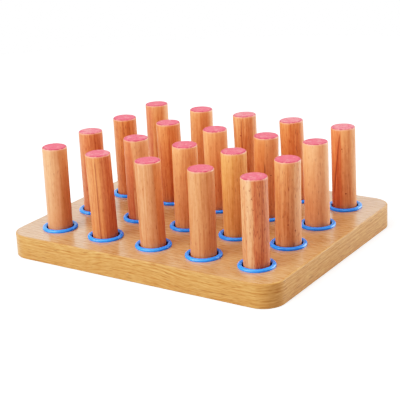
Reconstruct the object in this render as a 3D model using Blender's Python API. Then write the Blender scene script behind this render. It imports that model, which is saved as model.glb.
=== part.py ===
"""A wooden peg board: a wood-grain board with a grid of plastic-lined sockets, a loose peg in each.

Metres, +Z up. The origin is the centre of the board's underside. +X runs along the rows of five
pegs, and the front edge faces -Y. Rows are lettered a to d from the front, and columns are
numbered 1 to 5 from the left, so the front left peg is peg_a1.
"""

from math import cos, pi, radians, sin, tau

import bmesh
import bpy
from mathutils import Euler, Vector

MM = 0.001
GAP = 0.3 * MM  # kept between pieces that touch
ROUND_SEGMENTS = 24  # sides of a peg, a ring and a drilled hole
SHARP_EDGE = radians(35)  # faces that meet at less than this are shaded as one surface

# Board
ROWS = "abcd"
COLUMNS = "12345"
BOARD_LENGTH = 240 * MM
BOARD_WIDTH = 200 * MM
CORNER_RADIUS = 17 * MM
CORNER_SEGMENTS = 8
SOCKET_MARGIN = 30 * MM  # from the outer socket centres to the board's edges
CORE_THICKNESS = 16 * MM
LAMINATE_THICKNESS = 1 * MM
BAND_THICKNESS = 1 * MM
BAND_BEVEL = 0.5 * MM

# Pegs
PEG_DIAMETER = 19.6 * MM
PEG_LENGTH = 80 * MM
PEG_BEVEL = 0.6 * MM
PEG_SUNK = 13 * MM  # length of the peg below the board's top face

# How far each loose peg leans, in degrees towards +X and +Y, from column 1 to column 5
PEG_LEANS = {
    "a": ((0.7, 0.0), (-1.0, -0.5), (-0.9, 0.4), (0.3, 0.5), (-0.4, 0.6)),
    "b": ((-0.5, 0.7), (0.3, -0.4), (1.2, -0.5), (-0.3, 0.4), (0.9, -0.4)),
    "c": ((0.4, -0.6), (-1.1, 0.4), (-0.4, -0.5), (1.1, -0.4), (-0.9, 0.4)),
    "d": ((-0.4, 0.6), (0.5, 0.5), (-1.2, 0.1), (-1.8, -0.3), (-0.6, -0.5)),
}

# Socket rings: a sleeve down the socket and a rounded collar on the board
RING_BORE = 22 * MM
RING_COLLAR_DIAMETER = 28 * MM
RING_COLLAR_HEIGHT = 2.2 * MM
SLEEVE_WALL = 0.8 * MM

# Heights and radii that follow
BOARD_THICKNESS = CORE_THICKNESS + 2 * (LAMINATE_THICKNESS + GAP)
CORE_BOTTOM = LAMINATE_THICKNESS + GAP
CORE_TOP = CORE_BOTTOM + CORE_THICKNESS
SOCKET_FLOOR = BOARD_THICKNESS - PEG_SUNK - GAP
HOLE_RADIUS = RING_BORE / 2 + SLEEVE_WALL + GAP
PITCH_X = (BOARD_LENGTH - 2 * SOCKET_MARGIN) / (len(COLUMNS) - 1)
PITCH_Y = (BOARD_WIDTH - 2 * SOCKET_MARGIN) / (len(ROWS) - 1)

# Colours (linear RGB) and roughness
GRAIN_TAN = (0.69, 0.38, 0.13)
BAND_TAN = (0.73, 0.38, 0.12)
PANEL_BROWN = (0.42, 0.27, 0.14)
RING_BLUE = (0.03, 0.22, 0.83)
PAINT_PINK = (0.80, 0.13, 0.24)
PEG_WOODS = {
    "pale_wood": (0.72, 0.37, 0.17),
    "tan_wood": (0.66, 0.30, 0.12),
    "red_wood": (0.56, 0.19, 0.07),
}
PEG_WOOD_OF = {"a": "prtpt", "b": "rttpt", "c": "tptrp", "d": "trtpr"}  # initial of each wood


def remove_all_objects():
    for thing in list(bpy.data.objects):
        bpy.data.objects.remove(thing, do_unlink=True)


def material(name, colour, roughness):
    made = bpy.data.materials.new(name)
    made.use_nodes = True
    shader = made.node_tree.nodes["Principled BSDF"]
    shader.inputs["Base Color"].default_value = (*colour, 1)
    shader.inputs["Roughness"].default_value = roughness
    shader.inputs["Metallic"].default_value = 0
    made.diffuse_color = (*colour, 1)
    return made


def circle(radius, height):
    """The points of one turned section, counter-clockwise seen from above."""
    angles = (tau * step / ROUND_SEGMENTS for step in range(ROUND_SEGMENTS))
    return [Vector((radius * cos(a), radius * sin(a), height)) for a in angles]


def board_outline(inset, height):
    """The board's rounded rectangle, moved inwards by inset, counter-clockwise from above."""
    radius = CORNER_RADIUS - inset
    reach_x = BOARD_LENGTH / 2 - CORNER_RADIUS
    reach_y = BOARD_WIDTH / 2 - CORNER_RADIUS
    points = []
    for quarter, (side_x, side_y) in enumerate(((1, 1), (-1, 1), (-1, -1), (1, -1))):
        for step in range(CORNER_SEGMENTS + 1):
            angle = (quarter + step / CORNER_SEGMENTS) * pi / 2
            x = side_x * reach_x + radius * cos(angle)
            y = side_y * reach_y + radius * sin(angle)
            points.append(Vector((x, y, height)))
    return points


def skin(name, loops, closed=False):
    """A mesh through loops of equal length. Closed joins the last loop to the first, as on a
    ring; otherwise the first and last loops are capped."""
    bm = bmesh.new()
    rows = [[bm.verts.new(point) for point in loop] for loop in loops]
    following = rows[1:] + rows[:1] if closed else rows[1:]
    for row, next_row in zip(rows, following):
        for i in range(len(row)):
            j = (i + 1) % len(row)
            bm.faces.new((row[i], row[j], next_row[j], next_row[i]))
    if not closed:
        bm.faces.new(reversed(rows[0]))
        bm.faces.new(rows[-1])
    bmesh.ops.recalc_face_normals(bm, faces=bm.faces)
    mesh = bpy.data.meshes.new(name)
    bm.to_mesh(mesh)
    bm.free()
    mesh.shade_smooth()
    mesh.set_sharp_from_angle(angle=SHARP_EDGE)
    return mesh


def add_object(name, mesh, *materials):
    thing = bpy.data.objects.new(name, mesh)
    bpy.context.scene.collection.objects.link(thing)
    if not mesh.materials:
        for each in materials:
            mesh.materials.append(each)
    return thing


def socket_centres():
    """Each socket's row letter, column number and centre, front left first."""
    for i, row in enumerate(ROWS):
        for j, column in enumerate(COLUMNS):
            x = SOCKET_MARGIN - BOARD_LENGTH / 2 + j * PITCH_X
            y = SOCKET_MARGIN - BOARD_WIDTH / 2 + i * PITCH_Y
            yield row, column, Vector((x, y, 0))


def socket_cutter():
    """All the drilled holes as one cutter, from the socket floors to above the board."""
    bm = bmesh.new()
    depth = BOARD_THICKNESS + RING_COLLAR_HEIGHT - SOCKET_FLOOR
    for _, _, centre in socket_centres():
        made = bmesh.ops.create_cone(
            bm,
            cap_ends=True,
            segments=ROUND_SEGMENTS,
            radius1=HOLE_RADIUS,
            radius2=HOLE_RADIUS,
            depth=depth,
        )
        middle = centre + Vector((0, 0, SOCKET_FLOOR + depth / 2))
        bmesh.ops.translate(bm, verts=made["verts"], vec=middle)
    mesh = bpy.data.meshes.new("socket_cutter")
    bm.to_mesh(mesh)
    bm.free()
    cutter = add_object("socket_cutter", mesh)
    cutter.hide_render = True
    cutter.display_type = "WIRE"
    return cutter


def drill(panel, cutter):
    cut = panel.modifiers.new("sockets", "BOOLEAN")
    cut.operation = "DIFFERENCE"
    cut.solver = "EXACT"
    cut.object = cutter


def make_board(cutter):
    """The core, its two laminates and the band round them."""
    inner = BAND_THICKNESS + GAP  # the core and the laminates stop short of the band
    slabs = (
        ("board_core", CORE_BOTTOM, CORE_TOP, material("panel", PANEL_BROWN, 0.8)),
        ("top_laminate", CORE_TOP + GAP, BOARD_THICKNESS, material("top_grain", GRAIN_TAN, 0.3)),
        ("bottom_laminate", 0, LAMINATE_THICKNESS, material("bottom_grain", GRAIN_TAN, 0.4)),
    )
    for name, bottom, top, finish in slabs:
        mesh = skin(name, [board_outline(inner, bottom), board_outline(inner, top)])
        slab = add_object(name, mesh, finish)
        if top > SOCKET_FLOOR:
            drill(slab, cutter)

    section = (
        (BAND_THICKNESS, 0),
        (BAND_BEVEL, 0),
        (0, BAND_BEVEL),
        (0, BOARD_THICKNESS - BAND_BEVEL),
        (BAND_BEVEL, BOARD_THICKNESS),
        (BAND_THICKNESS, BOARD_THICKNESS),
    )
    mesh = skin("edge_band", [board_outline(inset, height) for inset, height in section], closed=True)
    add_object("edge_band", mesh, material("band_grain", BAND_TAN, 0.35))


def ring_mesh():
    """A thin sleeve below a collar whose top is rounded, about the socket's own axis."""
    bore = RING_BORE / 2
    sleeve = bore + SLEEVE_WALL
    collar = RING_COLLAR_DIAMETER / 2
    seat = BOARD_THICKNESS + GAP
    crown = BOARD_THICKNESS + RING_COLLAR_HEIGHT
    shoulder = (seat + crown) / 2
    crown_width = (collar - bore) / 4
    section = (
        (sleeve, SOCKET_FLOOR + GAP),
        (sleeve, seat),
        (collar - crown_width / 2, seat),
        (collar, shoulder),
        (collar - crown_width, crown),
        (bore + crown_width, crown),
        (bore, shoulder),
        (bore, SOCKET_FLOOR + GAP),
    )
    return skin("socket_ring", [circle(radius, height) for radius, height in section], closed=True)


def peg_mesh():
    """A straight peg that stands on its origin, with both ends slightly bevelled."""
    radius = PEG_DIAMETER / 2
    section = (
        (radius - PEG_BEVEL, 0),
        (radius, PEG_BEVEL),
        (radius, PEG_LENGTH - PEG_BEVEL),
        (radius - PEG_BEVEL, PEG_LENGTH),
    )
    return skin("peg", [circle(r, height) for r, height in section])


def paint_upper_end(mesh):
    for face in mesh.polygons:
        if face.center.z > PEG_LENGTH - PEG_BEVEL:
            face.material_index = 1


def place_peg(peg, centre, lean_x, lean_y):
    """Stands the peg in its socket, leaning by angles towards +X and +Y about its foot. The
    lowest edge of the foot stays a gap above the socket floor, and the middle of the sunk part
    stays on the socket's axis."""
    peg.rotation_euler = Euler((-lean_y, lean_x, 0))
    upright = peg.rotation_euler.to_matrix() @ Vector((0, 0, 1))
    foot_radius = PEG_DIAMETER / 2 - PEG_BEVEL
    rise = foot_radius * upright.xy.length
    sideways = Vector((upright.x, upright.y, 0)) * PEG_SUNK / 2
    peg.location = centre - sideways + Vector((0, 0, SOCKET_FLOOR + GAP + rise))


def main():
    remove_all_objects()
    cutter = socket_cutter()
    make_board(cutter)

    blue = material("ring_blue", RING_BLUE, 0.25)
    pink = material("paint_pink", PAINT_PINK, 0.6)
    ring = ring_mesh()
    pegs = {}
    for name, colour in PEG_WOODS.items():
        pegs[name[0]] = peg_mesh()
        for finish in (material(name, colour, 0.5), pink):
            pegs[name[0]].materials.append(finish)
        paint_upper_end(pegs[name[0]])

    for row, column, centre in socket_centres():
        add_object(f"ring_{row}{column}", ring, blue).location = centre
        place = COLUMNS.index(column)
        peg = add_object(f"peg_{row}{column}", pegs[PEG_WOOD_OF[row][place]])
        lean_x, lean_y = PEG_LEANS[row][place]
        place_peg(peg, centre, radians(lean_x), radians(lean_y))


main()
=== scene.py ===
"""The looks of the wooden peg board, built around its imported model.

Metres, +Z up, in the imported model's frame. Materials work in millimetres on each piece's own
coordinates, where a peg's z runs up its axis from its foot. Angles around a peg are compass
angles in degrees, 0 at +X and 90 at +Y.
"""

from math import cos, pi, radians, sin, tau

import bmesh
import bpy
from mathutils import Matrix, Vector, noise


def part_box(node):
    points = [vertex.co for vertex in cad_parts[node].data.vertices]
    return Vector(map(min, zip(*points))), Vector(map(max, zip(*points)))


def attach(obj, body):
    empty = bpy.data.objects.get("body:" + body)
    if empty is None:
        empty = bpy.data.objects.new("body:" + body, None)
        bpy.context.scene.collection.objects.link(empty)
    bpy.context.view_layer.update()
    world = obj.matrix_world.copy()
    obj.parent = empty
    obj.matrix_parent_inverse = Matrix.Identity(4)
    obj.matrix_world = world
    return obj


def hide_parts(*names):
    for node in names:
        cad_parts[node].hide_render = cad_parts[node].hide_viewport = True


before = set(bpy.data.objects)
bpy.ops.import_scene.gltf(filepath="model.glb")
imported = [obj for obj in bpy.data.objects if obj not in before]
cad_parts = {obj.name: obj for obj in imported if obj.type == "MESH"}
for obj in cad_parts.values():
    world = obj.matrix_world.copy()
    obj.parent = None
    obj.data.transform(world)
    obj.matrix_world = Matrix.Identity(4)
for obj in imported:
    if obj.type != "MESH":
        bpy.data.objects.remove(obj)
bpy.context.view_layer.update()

MM = 0.001
TOUCH = 0.02 * MM  # points closer than this to a plane lie on it
FLAT = 0.9  # least upward share of the normal of a peg's end face

SOCKETS = [row + column for row in "abcd" for column in "12345"]

# Fineness of the meshes
PEG_SIDES = 64
PEG_BODY_STEPS = 20
RING_SIDES = 72
BEAD_STEPS = 14
HOLE_SIDES = 48
CORNER_STEPS = 20
ROUND_STEPS = 4
FLOOR_SIDES = 48
PEG_FACE_RINGS = (0.3, 0.6, 0.85)  # where an end face has points, as shares of its radius

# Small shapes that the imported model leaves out
PEG_ROUNDING = 1.2 * MM
PEG_UNEVENNESS = 0.1 * MM
PEG_RIPPLE = 9 * MM  # distance around a peg over which its surface wavers
PEG_RIPPLE_ALONG = 0.3  # how often it wavers along the peg, as a share of how often around it
PEG_RIPPLE_SHIFT = 7.3  # between one peg's surface and the next one's, in ripples
BEAD_MIDDLE = 0.38  # height of the bead's widest line, as a share of the bead's height
BEAD_TUCK = 0.2 * MM  # how far the bead draws in where it meets the board
BEAD_OVERHANG = 0.4 * MM  # how far the bead reaches over the bore
RING_SPIN = radians(77)  # each ring is turned this much more than the last
BAND_ROUNDING = 0.7 * MM
SMOOTH_BELOW = radians(50)  # faces that meet at less than this are shaded as one surface

# Linear colours
WOODS = {  # light and dark grain
    "pale": ((0.76, 0.35, 0.18), (0.58, 0.21, 0.09)),
    "peach": ((0.66, 0.285, 0.14), (0.48, 0.165, 0.066)),
    "tan": ((0.70, 0.29, 0.13), (0.50, 0.165, 0.062)),
    "yellow": ((0.71, 0.31, 0.12), (0.52, 0.19, 0.055)),
    "orange": ((0.66, 0.235, 0.09), (0.45, 0.12, 0.04)),
    "red": ((0.61, 0.20, 0.085), (0.40, 0.095, 0.037)),
}
HEARTWOOD = (0.15, 0.035, 0.015)
PAINT = (0.59, 0.060, 0.10)
PAINT_THIN = (0.64, 0.16, 0.175)
PAINT_THICK = (0.33, 0.018, 0.05)
PAINT_WORN = (0.72, 0.27, 0.20)
TOP_GRAIN = ((0.56, 0.325, 0.17), (0.35, 0.155, 0.052))
BAND_GRAIN = ((0.58, 0.305, 0.11), (0.35, 0.138, 0.033))
UNDER_GRAIN = ((0.47, 0.25, 0.11), (0.30, 0.12, 0.04))
BLUE = ((0.035, 0.26, 0.86), (0.015, 0.16, 0.68))
BLUE_SCUFF = (0.25, 0.5, 0.85)
SCUFF_STRENGTH = 0.12
FIBREBOARD = ((0.36, 0.23, 0.12), (0.18, 0.10, 0.045))

# The floor's colour as it is seen and as it lights the object, and its own faint light, which
# keeps it pale in the object's shadow
FLOOR_SEEN = (0.95, 0.95, 0.95)
FLOOR_LIGHT = (0.36, 0.36, 0.36)
FLOOR_GLOW = (0.20, 0.20, 0.20)
BLACK = (0, 0, 0)

# Roughness and refractive index of the grain prints
TOP_SHINE = (0.25, 1.78)
BAND_SHINE = (0.42, 1.36)
UNDER_SHINE = (0.45, 1.4)

# Refractive index of the other surfaces
WOOD_IOR = 1.45
PLASTIC_IOR = 1.46

# The grain prints, in millimetres
PRINT_LAYER = 1.4  # across about one growth layer
PRINT_WANDER = 4.5  # how far the layers wander
PORE_SHADE = 0.45  # colour of the pores, as a share of the dark grain's
PORE_STRENGTH = 0.5
ARCH_REACH = 50.0  # how far the band's arches spread each way from their middle
ARCH_HEIGHT = 4.5

# The pegs' wood, in millimetres
PEG_LAYER = 2.4  # across about one growth layer
GRAIN_SHIFT = Vector((37, 53, 91))  # between one peg's grain and the next one's
RAGGED = 6.0  # how far the edge of a second wood wanders
SIDE_BLEND = 1.0  # how far to each side of that edge the woods blend
# Painted shade: each peg is darker towards its foot, where its neighbours shade it, and lighter
# towards its upper end
PAINTED_SHADE_BELOW = 10.0  # painted shade: the colour gets lighter from this height to the upper end
PAINTED_SHADE_AT_FOOT = 0.88
PAINTED_LIGHT_AT_HEAD = 1.12
LINE_CORE = 0.4  # share of a dark line's width that is fully dark
LINE_ENDS = 0.8  # share of its length that doesn't fade
LINE_STRENGTH = 0.6
SPOT_CORE = 0.5  # share of a dark spot's size that is fully dark
SPOT_STRENGTH = 0.75

# The pegs' paint, in millimetres: where it starts and is full, down from the upper end, and the
# same for the worn edge below it, and for the thick paint of the rim, in from the side
PAINT_WAVER = 0.9  # how far those heights waver
PAINT_STARTS = 0.2
PAINT_FULL = -0.15
WORN_STARTS = 1.2
WORN_FULL = 0.4
WORN_STRENGTH = 0.5
RIM_STARTS = 2.3
RIM_FULL = 1.3
RIM_STRENGTH = 0.75

FLOOR_RADIUS = 0.8
FLOOR_HEIGHT = -0.1 * MM

# Camera: it looks at the middle of the board's top face, then slides sideways and up
CAMERA_AZIMUTH = 33.78
CAMERA_ELEVATION = 19.02
CAMERA_ROLL = -2.8
CAMERA_DISTANCE = 0.9626
CAMERA_SLIDE = (-3.0 * MM, 13.4 * MM)
CAMERA_LENS = 108.5
CAMERA_CLIP = 50 * MM

# Light: the radiance of the white room as it shows in reflections, and as it lights the object
# from the horizon and from straight above
ROOM_SEEN = 1.0
ROOM_LOW = 0.03
ROOM_HIGH = 0.50
SOFT_BOXES = {  # compass angle, elevation, distance, width, power
    "key": (-115, 27, 2.4, 2.1, 54),
    "side": (54, 18, 2.5, 1.9, 52),
    "overhead": (-90, 72, 2.2, 2.2, 22),
}
TONE_STEPS = (0.02, 0.05, 0.1, 0.18, 0.3, 0.45, 0.6, 0.8)
TONE_GAIN = 1.35
TONE_KNEE = 0.35
TONE_POWER = 1.5
ALL_CHANNELS = 3  # the curve that acts on red, green and blue together

# How each peg looks. shade makes its wood lighter or darker, and turn is the compass angle across
# its growth rings. streak, wander, fleck, thin and grit say how strong its streaks are, how far
# they wander in millimetres, how many pores show, how thin its paint is and how grainy. side is a
# second wood beyond a plane: its wood, the plane's compass angle and its distance from the axis.
# On a1, a2, a3, b2, d1 and d5 that is painted shade, a darker wood on the peg's shaded side, and
# on b5 painted light, a paler wood on its lit side. A line has an angle, its lower and upper
# heights, its millimetres around for each one up, and its width. A spot has an angle, a height
# and a size.
PEG_DEFAULTS = {
    "shade": 1.0,
    "turn": 34,
    "streak": 0.5,
    "wander": 6,
    "fleck": 0.3,
    "thin": 0.3,
    "grit": 0.3,
}
PEG_LOOKS = {
    "a1": {"wood": "pale", "shade": 0.92, "streak": 0.35, "turn": 70, "side": ("tan", 34, 3.0)},
    "a2": {
        "wood": "orange",
        "streak": 0.7,
        "thin": 0.5,
        "side": ("red", 34, 2.0),
        "lines": [(-74, 5, 79, 0.01, 0.6)],
    },
    "a3": {"wood": "peach", "streak": 0.6, "turn": 20, "side": ("orange", 34, 4.0)},
    "a4": {"wood": "tan", "shade": 0.88, "turn": 50},
    "a5": {
        "wood": "pale",
        "shade": 0.94,
        "streak": 0.95,
        "fleck": 1.0,
        "side": ("red", 34, -1.5),
        "spots": [(-80, 72, 0.6), (-72, 66, 0.7), (-92, 60, 0.6), (-66, 58, 0.5), (-84, 41, 0.6)],
    },
    "b1": {"wood": "red", "streak": 0.7, "wander": 12, "fleck": 0.7, "thin": 0.8},
    "b2": {"wood": "pale", "streak": 0.45, "grit": 0.9, "side": ("red", -146, 3.5)},
    "b3": {"wood": "tan", "shade": 1.08, "streak": 0.6, "wander": 16, "turn": -50},
    "b4": {"wood": "yellow", "shade": 1.06, "streak": 0.7},
    "b5": {
        "wood": "tan",
        "streak": 0.9,
        "fleck": 0.7,
        "side": ("pale", 34, 3.5),
        "spots": [(-62, 32, 0.7), (-29, 27, 0.8)],
    },
    "c1": {"wood": "orange", "shade": 0.97, "wander": 14, "streak": 0.7, "fleck": 0.7},
    "c2": {"wood": "orange", "streak": 0.8},
    "c3": {"wood": "tan", "shade": 1.12, "turn": 0},
    "c4": {
        "wood": "tan",
        "side": ("orange", -146, 2.0),
        "lines": [(-72, 5, 62, 0.0, 0.9)],
        "spots": [(-40, 50, 0.7)],
    },
    "c5": {"wood": "pale", "shade": 1.08, "streak": 0.45, "turn": 10},
    "d1": {"wood": "tan", "shade": 1.05, "side": ("red", -146, 4.0)},
    "d2": {"wood": "tan", "shade": 1.08, "turn": -30},
    "d3": {
        "wood": "tan",
        "streak": 0.9,
        "thin": 0.8,
        "lines": [(-80, 40, 79, 0.02, 0.5)],
        "spots": [(-82, 64, 0.8)],
    },
    "d4": {"wood": "orange", "streak": 0.6, "wander": 10, "fleck": 0.6, "thin": 0.8},
    "d5": {
        "wood": "tan",
        "shade": 1.13,
        "side": ("red", -146, 3.0),
        "thin": 0.8,
        "lines": [(-100, 25, 78, 0.13, 0.9)],
        "spots": [(-56, 27, 0.8), (-70, 64, 0.7)],
    },
}


# ---------------------------------------------------------------- meshes


def mesh_from(name, bm):
    bmesh.ops.recalc_face_normals(bm, faces=bm.faces)
    mesh = bpy.data.meshes.new(name)
    bm.to_mesh(mesh)
    bm.free()
    return mesh


def skin(name, loops, closed=False):
    """A smooth mesh through loops of equal length. Closed joins the last loop to the first;
    otherwise the first and last loops are capped."""
    bm = bmesh.new()
    rows = [[bm.verts.new(point) for point in loop] for loop in loops]
    following = rows[1:] + rows[:1] if closed else rows[1:]
    for row, next_row in zip(rows, following):
        for i in range(len(row)):
            j = (i + 1) % len(row)
            bm.faces.new((row[i], row[j], next_row[j], next_row[i]))
    if not closed:
        bm.faces.new(reversed(rows[0]))
        bm.faces.new(rows[-1])
    mesh = mesh_from(name, bm)
    mesh.shade_smooth()
    return mesh


def plate(name, outlines, bottom, top):
    """A flat plate inside the first outline, with the other outlines as holes through it."""
    bm = bmesh.new()
    edges = {bottom: [], top: []}
    for outline in outlines:
        lower = [bm.verts.new((x, y, bottom)) for x, y in outline]
        upper = [bm.verts.new((x, y, top)) for x, y in outline]
        for i in range(len(outline)):
            j = (i + 1) % len(outline)
            bm.faces.new((lower[i], lower[j], upper[j], upper[i]))
            edges[bottom].append(bm.edges.get((lower[i], lower[j])))
            edges[top].append(bm.edges.get((upper[i], upper[j])))
    for rim in edges.values():
        bmesh.ops.triangle_fill(bm, edges=rim, use_beauty=True)
    mesh = mesh_from(name, bm)
    mesh.shade_smooth()
    mesh.set_sharp_from_angle(angle=SMOOTH_BELOW)
    return mesh


def circle(centre_x, centre_y, radius, sides):
    angles = (tau * step / sides for step in range(sides))
    return [(centre_x + radius * cos(a), centre_y + radius * sin(a)) for a in angles]


def quarter_turn():
    return [pi / 2 * step / ROUND_STEPS for step in range(ROUND_STEPS + 1)]


def at_height(outline, height):
    return [Vector((x, y, height)) for x, y in outline]


def board_outline(inset):
    """The board's rounded outline, moved inwards, from the middle of its back side leftwards."""
    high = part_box("edge_band")[1]
    radius = front_corner_radius()
    points = [(0, high.y - inset)]
    for corner, (side_x, side_y) in enumerate(((-1, 1), (-1, -1), (1, -1), (1, 1))):
        for step in range(CORNER_STEPS + 1):
            angle = pi / 2 * (1 + corner + step / CORNER_STEPS)
            x = side_x * (high.x - radius) + (radius - inset) * cos(angle)
            y = side_y * (high.y - radius) + (radius - inset) * sin(angle)
            points.append((x, y))
    return points


def distances_along(points):
    """How far along a row of points each one is."""
    distances = [0.0]
    for here, there in zip(points, points[1:]):
        distances.append(distances[-1] + (Vector(there) - Vector(here)).length)
    return distances


def unroll(mesh, outline, section):
    """Gives the band the UV map "grain": the distance along its outline and up its section.
    Returns the distance all the way round."""
    along = distances_along(outline + outline[:1])
    up = distances_along(section)
    last = len(outline) - 1
    layer = mesh.uv_layers.new(name="grain")
    for face in mesh.polygons:
        columns = [vertex % len(outline) for vertex in face.vertices]
        wraps = 0 in columns and last in columns
        for loop, vertex, column in zip(face.loop_indices, face.vertices, columns):
            distance = along[-1] if wraps and column == 0 else along[column]
            layer.data[loop].uv = distance, up[vertex // len(outline)]
    return along[-1]


# ---------------------------------------------------------------- node materials


class Shader:
    """A node material put together one node at a time. Wherever a value is wanted, it can be a
    number, a vector, a colour or another node's output."""

    def __init__(self, name):
        self.material = bpy.data.materials.new(name)
        self.material.use_nodes = True
        self.tree = self.material.node_tree
        self.surface = self.tree.nodes["Principled BSDF"]

    def feed(self, socket, value):
        if isinstance(value, bpy.types.NodeSocket):
            self.tree.links.new(value, socket)
        elif socket.type == "RGBA" and len(value) == 3:
            socket.default_value = (*value, 1)
        else:
            socket.default_value = value

    def add(self, kind, output, inputs, **settings):
        """A new node's output, once its settings are made and its inputs fed."""
        node = self.tree.nodes.new("ShaderNode" + kind)
        for name, value in settings.items():
            setattr(node, name, value)
        for key, value in inputs.items():
            self.feed(node.inputs[key], value)
        return node.outputs[output]

    def math(self, operation, *values):
        return self.add("Math", 0, dict(enumerate(values)), operation=operation)

    def vector(self, operation, *values):
        return self.add("VectorMath", "Vector", dict(enumerate(values)), operation=operation)

    def dot(self, vector, other):
        return self.add("VectorMath", "Value", {0: vector, 1: other}, operation="DOT_PRODUCT")

    def length(self, vector):
        return self.add("VectorMath", "Value", {0: vector}, operation="LENGTH")

    def joined(self, x, y=0.0, z=0.0):
        return self.add("CombineXYZ", 0, {0: x, 1: y, 2: z})

    def parts(self, vector):
        outputs = self.add("SeparateXYZ", 0, {0: vector}).node.outputs
        return outputs[0], outputs[1], outputs[2]

    def place(self):
        """The piece's own coordinates in millimetres."""
        metres = self.add("TexCoord", "Object", {})
        return self.vector("DIVIDE", metres, (MM, MM, MM))

    def noise(self, vector, per_mm, detail=2.0, roughness=0.5):
        """Smooth noise about 0.5 that varies per_mm times a millimetre along each axis."""
        scaled = self.vector("MULTIPLY", vector, per_mm)
        inputs = {"Vector": scaled, "Scale": 1.0, "Detail": detail, "Roughness": roughness}
        return self.add("TexNoise", 0, inputs)

    def layers(self, distance, spacing, detail=2.0):
        """Uneven stripes across a distance, about one in each spacing."""
        scaled = self.math("DIVIDE", distance, spacing)
        inputs = {"W": scaled, "Scale": 1.0, "Detail": detail}
        return self.add("TexNoise", 0, inputs, noise_dimensions="1D")

    def rise(self, value, start, end, low=0.0, high=1.0):
        """low before start, high after end and a smooth rise between them."""
        inputs = {0: value, 1: start, 2: end, 3: low, 4: high}
        return self.add("MapRange", 0, inputs, interpolation_type="SMOOTHSTEP")

    def mix(self, share, first, second):
        return self.add("Mix", 2, {0: share, 6: first, 7: second}, data_type="RGBA")

    def scale(self, value, factor):
        return self.math("MULTIPLY", value, factor)

    def total(self, middle, *terms):
        """middle, plus each term's value less a half times its weight, kept from 0 to 1."""
        result = middle
        for value, weight in terms:
            result = self.math("MULTIPLY_ADD", self.math("SUBTRACT", value, 0.5), weight, result)
        return self.add("Clamp", 0, {0: result})

    def finish(self, colour, roughness, relief, depth, ior):
        """Feeds the surface. depth is what a relief of 1 stands for, in metres."""
        bump = self.add("Bump", 0, {"Height": relief, "Distance": depth, "Strength": 1.0})
        self.feed(self.surface.inputs["Base Color"], colour)
        self.feed(self.surface.inputs["Roughness"], roughness)
        self.feed(self.surface.inputs["Normal"], bump)
        self.surface.inputs["IOR"].default_value = ior
        return self.material


def direction(degrees):
    return cos(radians(degrees)), sin(radians(degrees)), 0


def dark_line(shader, place, radius, angle, lower, upper, slant, width):
    """1 on a thin line up a peg's side, and 0 away from it."""
    ahead = shader.dot(place, direction(angle))
    aside = shader.dot(place, direction(angle + 90))
    around = shader.scale(shader.math("ARCTAN2", aside, ahead), radius)
    height = shader.math("SUBTRACT", shader.parts(place)[2], (lower + upper) / 2)
    bend = shader.noise(place, (0.1, 0.1, 0.06))
    drift = shader.math("MULTIPLY_ADD", height, slant, bend)
    away = shader.math("ABSOLUTE", shader.math("SUBTRACT", around, drift))
    line = shader.rise(away, width, width * LINE_CORE)
    half = (upper - lower) / 2
    ends = shader.rise(shader.math("ABSOLUTE", height), half, half * LINE_ENDS)
    return shader.math("MULTIPLY", line, ends)


def dark_spot(shader, place, radius, angle, height, size):
    """1 in a small spot on a peg's side, and 0 away from it."""
    x, y, _ = direction(angle)
    distance = shader.length(shader.vector("SUBTRACT", place, (radius * x, radius * y, height)))
    return shader.rise(distance, size, size * SPOT_CORE)


def peg_marks(shader, look, place, grain, radius):
    """How much heartwood shows: in pores, and in the peg's own lines and spots."""
    fleck = look["fleck"]
    pores = shader.noise(grain, (1.1, 1.1, 0.2), 1)
    pores = shader.rise(pores, 0.64 - 0.06 * fleck, 0.78 - 0.03 * fleck)
    marks = shader.scale(pores, 0.25 + 0.45 * fleck)
    for line in look.get("lines", ()):
        strength = shader.scale(dark_line(shader, place, radius, *line), LINE_STRENGTH)
        marks = shader.math("MAXIMUM", marks, strength)
    for spot in look.get("spots", ()):
        strength = shader.scale(dark_spot(shader, place, radius, *spot), SPOT_STRENGTH)
        marks = shader.math("MAXIMUM", marks, strength)
    return marks


def second_wood_and_painted_light(shader, place, grain, darkness, wood, side):
    """A peg's wood, which gives way to another one beyond a ragged plane. On most pegs that is
    painted shade on a shaded side, and on b5 painted light on its lit side.
    """
    other, angle, edge = side
    ragged = shader.noise(grain, (0.4, 0.4, 0.02), 3)
    beyond = shader.math("MULTIPLY_ADD", ragged, RAGGED, shader.dot(place, direction(angle)))
    middle = edge + RAGGED / 2
    share = shader.rise(beyond, middle - SIDE_BLEND, middle + SIDE_BLEND)
    return shader.mix(share, wood, shader.mix(darkness, *WOODS[other]))


def peg_paint(shader, look, place, radius, cloud, grit, ragged):
    """The colour of the paint: mottled, grainy, and thick round the rim."""
    thin = shader.rise(cloud, 0.56 - 0.24 * look["thin"], 0.76 - 0.24 * look["thin"])
    paint = shader.mix(thin, PAINT, PAINT_THIN)
    specks = shader.scale(shader.rise(grit, 0.56, 0.68), 0.40 + 0.5 * look["grit"])
    paint = shader.mix(specks, paint, PAINT_THICK)
    x, y, _ = shader.parts(place)
    from_axis = shader.length(shader.joined(x, y))
    rim = shader.rise(from_axis, radius - RIM_STARTS, radius - RIM_FULL)
    rim = shader.math("MULTIPLY", rim, shader.rise(ragged, 0.42, 0.58, 0.0, RIM_STRENGTH))
    return shader.mix(rim, paint, PAINT_THICK)


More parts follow.
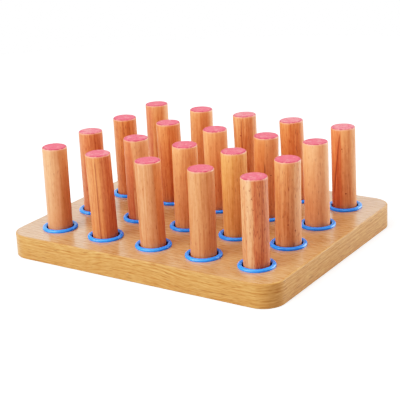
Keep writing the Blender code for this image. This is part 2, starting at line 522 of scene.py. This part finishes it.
def peg_finish(name, look, radius, length, seed):
    """Straight-grained wood with a painted upper end, and painted shade that darkens it towards
    its foot. radius and length are in millimetres.
    """
    shader = Shader(name)
    place = shader.place()
    z = shader.parts(place)[2]
    grain = shader.vector("ADD", place, GRAIN_SHIFT * seed)

    wander = shader.noise(grain, (0.05, 0.05, 0.016))
    straight = shader.dot(grain, direction(look["turn"]))
    across = shader.math("MULTIPLY_ADD", wander, look["wander"], straight)
    growth = shader.layers(across, PEG_LAYER)
    fibre = shader.noise(grain, (0.9, 0.9, 0.04), 3, 0.6)
    mottle = shader.noise(grain, (0.45, 0.45, 0.22), 3, 0.65)
    tone = shader.noise(grain, (0.07, 0.07, 0.022))
    streak = look["streak"]
    darkness = shader.total(
        0.42,
        (growth, 1.7 * streak),
        (fibre, 0.4 + 2.4 * streak),
        (mottle, 0.5 + 0.8 * streak),
        (tone, 0.9),
    )
    wood = shader.mix(darkness, *WOODS[look["wood"]])
    # On most pegs the second wood is painted shade on a shaded side, and on b5 painted light
    if "side" in look:
        wood = second_wood_and_painted_light(shader, place, grain, darkness, wood, look["side"])
    marks = peg_marks(shader, look, place, grain, radius)
    wood = shader.mix(marks, wood, HEARTWOOD)
    # Painted shade: the colour darkens towards the foot and lightens towards the upper end
    foot = PAINTED_SHADE_AT_FOOT * look["shade"]
    head = PAINTED_LIGHT_AT_HEAD * look["shade"]
    shade = shader.rise(z, PAINTED_SHADE_BELOW, length, foot, head)
    wood = shader.vector("MULTIPLY", wood, shader.joined(shade, shade, shade))

    ragged = shader.noise(grain, (0.45, 0.45, 0.45), 3, 0.6)
    cloud = shader.noise(grain, (0.22, 0.22, 0.22), 4, 0.62)
    grit = shader.noise(grain, (0.9, 0.9, 0.9), 2, 0.6)
    paint = peg_paint(shader, look, place, radius, cloud, grit, ragged)
    reach = shader.math("MULTIPLY_ADD", ragged, PAINT_WAVER, z)
    worn = shader.rise(reach, length - WORN_STARTS, length - WORN_FULL, 0.0, WORN_STRENGTH)
    wood = shader.mix(worn, wood, PAINT_WORN)
    painted = shader.rise(reach, length - PAINT_STARTS, length - PAINT_FULL)

    bare = shader.total(0.46, (fibre, 0.25), (growth, 0.15))
    coated = shader.total(0.50, (grit, 0.25), (cloud, 0.2))
    relief = shader.total(0.5, (fibre, 0.8), (growth, 0.35), (grit, 0.35))
    relief = shader.math("MULTIPLY_ADD", marks, -0.3, relief)
    return shader.finish(
        colour=shader.mix(painted, wood, paint),
        roughness=shader.rise(painted, 0.0, 1.0, bare, coated),
        relief=relief,
        depth=0.05 * MM,
        ior=WOOD_IOR,
    )


def printed_grain(shader, along, across, colours, gloss, ior):
    """Wood-grain print. along and across are a point's millimetres along and across the grain."""
    flat = shader.joined(along, across)
    wander = shader.noise(flat, (0.012, 0.03, 0))
    growth = shader.layers(shader.math("MULTIPLY_ADD", wander, PRINT_WANDER, across), PRINT_LAYER)
    streaks = shader.noise(flat, (0.05, 0.66, 0), 3, 0.6)
    fibre = shader.noise(flat, (0.14, 1.1, 0), 2, 0.6)
    tone = shader.noise(flat, (0.008, 0.03, 0))
    clouds = shader.noise(flat, (0.03, 0.03, 0), 3)
    darkness = shader.total(0.44, (growth, 0.9), (streaks, 1.4), (fibre, 1.5), (tone, 0.4))
    pores = shader.rise(shader.noise(flat, (0.10, 0.85, 0), 1), 0.60, 0.74)
    light, dark = colours
    colour = shader.mix(darkness, light, dark)
    pore_colour = [PORE_SHADE * part for part in dark]
    return shader.finish(
        colour=shader.mix(shader.scale(pores, PORE_STRENGTH), colour, pore_colour),
        roughness=shader.total(gloss, (streaks, 0.10), (clouds, 0.10)),
        relief=shader.math("SUBTRACT", shader.total(0.6, (fibre, 0.5)), pores),
        depth=0.01 * MM,
        ior=ior,
    )


def plate_finish(name, colours, gloss, ior):
    """Grain along the board's length."""
    shader = Shader(name)
    x, y, _ = shader.parts(shader.place())
    return printed_grain(shader, x, y, colours, gloss, ior)


def band_finish(name, colours, gloss, ior, figure_middle):
    """Grain along the band, with nested arches about the middle of the board's front."""
    shader = Shader(name)
    metres = shader.add("UVMap", "UV", {}, uv_map="grain")
    along, up, _ = shader.parts(shader.vector("DIVIDE", metres, (MM, MM, MM)))
    off = shader.math("DIVIDE", shader.math("SUBTRACT", along, figure_middle), ARCH_REACH)
    arch = shader.rise(shader.math("MULTIPLY", off, off), 0.0, 1.0, 0.0, ARCH_HEIGHT)
    return printed_grain(shader, along, shader.math("ADD", up, arch), colours, gloss, ior)


def plastic_finish(name):
    shader = Shader(name)
    place = shader.place()
    cloud = shader.noise(place, (0.12, 0.12, 0.12), 3)
    grain = shader.noise(place, (2.2, 2.2, 2.2))
    scuffs = shader.rise(shader.noise(place, (0.5, 0.5, 1.4), 3, 0.7), 0.58, 0.72)
    colour = shader.mix(shader.total(0.4, (cloud, 1.1), (grain, 0.5)), *BLUE)
    return shader.finish(
        colour=shader.mix(shader.scale(scuffs, SCUFF_STRENGTH), colour, BLUE_SCUFF),
        roughness=shader.total(0.35, (cloud, 0.15), (scuffs, 0.2)),
        relief=shader.total(0.5, (grain, 1.0), (scuffs, 0.4)),
        depth=0.01 * MM,
        ior=PLASTIC_IOR,
    )


def fibreboard_finish(name):
    shader = Shader(name)
    place = shader.place()
    chips = shader.noise(place, (0.5, 0.5, 0.9), 4, 0.7)
    dust = shader.noise(place, (2.0, 2.0, 2.0), 3, 0.7)
    cloud = shader.noise(place, (0.04, 0.04, 0.04))
    darkness = shader.total(0.5, (chips, 1.6), (dust, 0.8), (cloud, 0.6))
    return shader.finish(
        colour=shader.mix(darkness, *FIBREBOARD),
        roughness=shader.total(0.82, (dust, 0.2)),
        relief=dust,
        depth=0.12 * MM,
        ior=WOOD_IOR,
    )


# ---------------------------------------------------------------- the pieces


def add_piece(name, mesh, finish, body, node, matrix=Matrix()):
    """A visible piece that rides on a body and stands for a CAD node."""
    if not mesh.materials:
        mesh.materials.append(finish)
    piece = bpy.data.objects.new(name, mesh)
    bpy.context.scene.collection.objects.link(piece)
    piece.matrix_world = matrix
    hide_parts(node)
    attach(piece, body)


def front_corner_radius():
    """From the band's straight front side, which ends where its corner starts."""
    low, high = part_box("edge_band")
    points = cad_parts["edge_band"].data.vertices
    return high.x - max(point.co.x for point in points if point.co.y < low.y + TOUCH)


def socket_axis(socket):
    low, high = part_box("ring_" + socket)
    return (low + high) / 2


def hole_radius():
    """From the top laminate's vertices around one of its holes."""
    axis = socket_axis(SOCKETS[0])
    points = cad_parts["top_laminate"].data.vertices
    return min((point.co - axis).xy.length for point in points)


def make_plates():
    """The two faces of the board. They reach out to the band."""
    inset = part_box("edge_band")[1].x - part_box("top_laminate")[1].x
    outline = board_outline(inset)
    holes = []
    for socket in SOCKETS:
        axis = socket_axis(socket)
        holes.append(circle(axis.x, axis.y, hole_radius(), HOLE_SIDES))
    low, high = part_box("top_laminate")
    mesh = plate("board_top", [outline, *holes], low.z, high.z)
    finish = plate_finish("top_grain", TOP_GRAIN, *TOP_SHINE)
    add_piece("board_top", mesh, finish, "board", "top_laminate")
    low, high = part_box("bottom_laminate")
    mesh = plate("board_underside", [outline], low.z, high.z)
    finish = plate_finish("underside_grain", UNDER_GRAIN, *UNDER_SHINE)
    add_piece("board_underside", mesh, finish, "board", "bottom_laminate")


def make_band():
    """The band, with both its outer edges rounded. It reaches in to the two faces."""
    low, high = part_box("edge_band")
    thickness = high.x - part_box("top_laminate")[1].x
    lower = [(1 - sin(a), 1 - cos(a)) for a in quarter_turn()]
    lower = [(BAND_ROUNDING * inset, low.z + BAND_ROUNDING * up) for inset, up in lower]
    upper = [(inset, high.z + low.z - height) for inset, height in reversed(lower)]
    section = [(thickness, low.z), *lower, *upper, (thickness, high.z)]
    loops = [at_height(board_outline(inset), height) for inset, height in section]
    mesh = skin("board_band", loops, closed=True)
    mesh.set_sharp_from_angle(angle=SMOOTH_BELOW)
    way_round = unroll(mesh, board_outline(0), section)
    finish = band_finish("band_grain", BAND_GRAIN, *BAND_SHINE, way_round / 2 / MM)
    add_piece("board_band", mesh, finish, "board", "edge_band")


def ring_mesh():
    """A sleeve under a rounded bead that sits on the board, about the z axis."""
    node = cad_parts["ring_" + SOCKETS[0]]
    axis = socket_axis(SOCKETS[0])
    low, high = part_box(node.name)
    reaches = [(point.co - axis).xy.length for point in node.data.vertices]
    bottoms = [point.co.z < low.z + TOUCH for point in node.data.vertices]
    bore = min(reaches)
    collar = max(reaches)
    sleeve = max(reach for reach, bottom in zip(reaches, bottoms) if bottom)
    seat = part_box("top_laminate")[1].z
    middle = seat + (high.z - seat) * BEAD_MIDDLE
    inner = bore - BEAD_OVERHANG
    half = (collar - inner) / 2
    turns = [pi * step / BEAD_STEPS for step in range(BEAD_STEPS + 1)]
    bead = [(inner + half * (1 - cos(a)), middle + (high.z - middle) * sin(a)) for a in turns]
    inside = [(bore, low.z), (bore, seat)]
    outside = [(collar - BEAD_TUCK, seat), (sleeve, seat), (sleeve, low.z)]
    section = [*inside, *bead, *outside]
    loops = [at_height(circle(0, 0, reach, RING_SIDES), height) for reach, height in section]
    mesh = skin("socket_ring", loops, closed=True)
    mesh.set_sharp_from_angle(angle=SMOOTH_BELOW)
    mesh.materials.append(plastic_finish("ring_plastic"))
    return mesh


def make_rings():
    mesh = ring_mesh()
    for index, socket in enumerate(SOCKETS):
        axis = socket_axis(socket)
        turn = Matrix.Rotation(index * RING_SPIN, 4, "Z")
        matrix = Matrix.Translation((axis.x, axis.y, 0)) @ turn
        node = "ring_" + socket
        add_piece("socket_" + node, mesh, None, "board", node, matrix)


def peg_ends(node):
    """The middles of a peg's lower and upper end faces."""
    ends = []
    for side in (-1, 1):
        faces = [face for face in node.data.polygons if face.normal.z * side > FLAT]
        area = sum(face.area for face in faces)
        ends.append(sum((face.center * face.area for face in faces), Vector()) / area)
    return ends


def peg_mesh(name, radius, length, seed):
    """A turned peg that stands on its origin, its surface a little uneven."""
    rounding = PEG_ROUNDING
    lower = [(radius - rounding * (1 - sin(a)), rounding * (1 - cos(a))) for a in quarter_turn()]
    upper = [(reach, length - height) for reach, height in reversed(lower)]
    step = (length - 2 * rounding) / PEG_BODY_STEPS
    side = [(radius, rounding + i * step) for i in range(1, PEG_BODY_STEPS)]
    face = [(radius - rounding) * share for share in PEG_FACE_RINGS]
    bottom = [(reach, 0) for reach in face]
    top = [(reach, length) for reach in reversed(face)]
    middle = length / 2
    loops = []
    for reach, height in [*bottom, *lower, *side, *upper, *top]:
        loop = at_height(circle(0, 0, reach, PEG_SIDES), height)
        for point in loop:
            spot = Vector((point.x, point.y, point.z * PEG_RIPPLE_ALONG)) / PEG_RIPPLE
            ripple = noise.noise(spot + Vector((seed * PEG_RIPPLE_SHIFT, 0, 0)))
            depth = PEG_UNEVENNESS * (ripple + 1) / 2
            point.xy *= 1 - depth / radius
            point.z = middle + (point.z - middle) * (1 - depth / middle)
        loops.append(loop)
    return skin(name, loops)


def make_pegs():
    for seed, socket in enumerate(SOCKETS):
        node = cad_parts["peg_" + socket]
        foot, head = peg_ends(node)
        axis = (head - foot).normalized()
        length = (head - foot).length
        radius = max((point.co - foot).cross(axis).length for point in node.data.vertices)
        lean = Vector((0, 0, 1)).rotation_difference(axis).to_matrix().to_4x4()
        look = {**PEG_DEFAULTS, **PEG_LOOKS[socket]}
        name = "wood_" + node.name
        mesh = peg_mesh(name, radius, length, seed)
        finish = peg_finish(name, look, radius / MM, length / MM, seed)
        matrix = Matrix.Translation(foot) @ lean
        add_piece(name, mesh, finish, node.name, node.name, matrix)


def finish_core():
    """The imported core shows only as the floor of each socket, and keeps its own shape."""
    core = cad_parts["board_core"]
    core.data.materials.clear()
    core.data.materials.append(fibreboard_finish("fibreboard"))


# ---------------------------------------------------------------- stage, light and camera


def make_floor():
    bm = bmesh.new()
    outline = at_height(circle(0, 0, FLOOR_RADIUS, FLOOR_SIDES), FLOOR_HEIGHT)
    bm.faces.new([bm.verts.new(point) for point in outline])
    floor = bpy.data.objects.new("floor", mesh_from("floor", bm))
    bpy.context.scene.collection.objects.link(floor)
    paper = Shader("floor")
    bounced = paper.add("LightPath", "Is Diffuse Ray", {})
    paper.feed(paper.surface.inputs["Base Color"], paper.mix(bounced, FLOOR_SEEN, FLOOR_LIGHT))
    paper.feed(paper.surface.inputs["Emission Color"], paper.mix(bounced, FLOOR_GLOW, BLACK))
    paper.feed(paper.surface.inputs["Emission Strength"], 1.0)
    paper.feed(paper.surface.inputs["Roughness"], 0.9)
    paper.feed(paper.surface.inputs["Specular IOR Level"], 0.1)
    floor.data.materials.append(paper.material)


def make_room():
    """An even white room, which lights the object less than it shows in reflections."""
    world = bpy.data.worlds.new("room")
    world.use_nodes = True
    world.cycles.sampling_method = "NONE"
    nodes = world.node_tree.nodes
    links = world.node_tree.links
    background = nodes["Background"]
    background.inputs["Color"].default_value = (1, 1, 1, 1)
    direction_node = nodes.new("ShaderNodeTexCoord")
    parts = nodes.new("ShaderNodeSeparateXYZ")
    lit = nodes.new("ShaderNodeMapRange")
    lit.inputs["To Min"].default_value = ROOM_LOW
    lit.inputs["To Max"].default_value = ROOM_HIGH
    path = nodes.new("ShaderNodeLightPath")
    strength = nodes.new("ShaderNodeMix")
    strength.inputs["A"].default_value = ROOM_SEEN
    links.new(direction_node.outputs["Generated"], parts.inputs["Vector"])
    links.new(parts.outputs["Z"], lit.inputs["Value"])
    links.new(lit.outputs["Result"], strength.inputs["B"])
    links.new(path.outputs["Is Diffuse Ray"], strength.inputs["Factor"])
    links.new(strength.outputs["Result"], background.inputs["Strength"])
    bpy.context.scene.world = world


def outward(angle, elevation):
    """The direction from the object at a compass angle and an elevation."""
    level = cos(radians(elevation))
    x = level * cos(radians(angle))
    y = level * sin(radians(angle))
    return Vector((x, y, sin(radians(elevation))))


def make_lights():
    for name, (angle, elevation, distance, width, power) in SOFT_BOXES.items():
        lamp = bpy.data.lights.new(name, "AREA")
        lamp.size = width
        lamp.energy = power
        box = bpy.data.objects.new(name, lamp)
        bpy.context.scene.collection.objects.link(box)
        away = outward(angle, elevation)
        box.location = away * distance
        box.rotation_euler = away.to_track_quat("Z", "Y").to_euler()
        box.visible_camera = False


def make_camera():
    back = outward(CAMERA_AZIMUTH - 90, CAMERA_ELEVATION)
    right = Vector((-back.y, back.x, 0)).normalized()
    up = back.cross(right)
    tilt = Matrix.Rotation(radians(CAMERA_ROLL), 3, back)
    right = tilt @ right
    up = tilt @ up
    turn = Matrix((right, up, back)).transposed()
    slide_right, slide_up = CAMERA_SLIDE
    target = Vector((0, 0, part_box("top_laminate")[1].z))
    place = target + slide_right * right + slide_up * up + CAMERA_DISTANCE * back
    camera = bpy.data.objects.new("camera", bpy.data.cameras.new("camera"))
    camera.data.lens = CAMERA_LENS
    camera.data.clip_start = CAMERA_CLIP
    camera.matrix_world = Matrix.Translation(place) @ turn.to_4x4()
    bpy.context.scene.collection.objects.link(camera)
    bpy.context.scene.camera = camera


def set_tone():
    """A contrast curve that deepens the shadows' colour and holds the whites."""
    settings = bpy.context.scene.view_settings
    settings.view_transform = "Standard"
    settings.use_curve_mapping = True
    curve = settings.curve_mapping.curves[ALL_CHANNELS]
    for x in TONE_STEPS:
        curve.points.new(x, tone(x))
    curve.points[0].location = (0, 0)
    curve.points[-1].location = (1, tone(1))
    settings.curve_mapping.update()


def tone(x):
    raised = x**TONE_POWER
    return TONE_GAIN * raised / (raised + TONE_KNEE)


make_camera()
make_plates()
make_band()
make_rings()
make_pegs()
finish_core()
make_floor()
make_room()
make_lights()
set_tone()
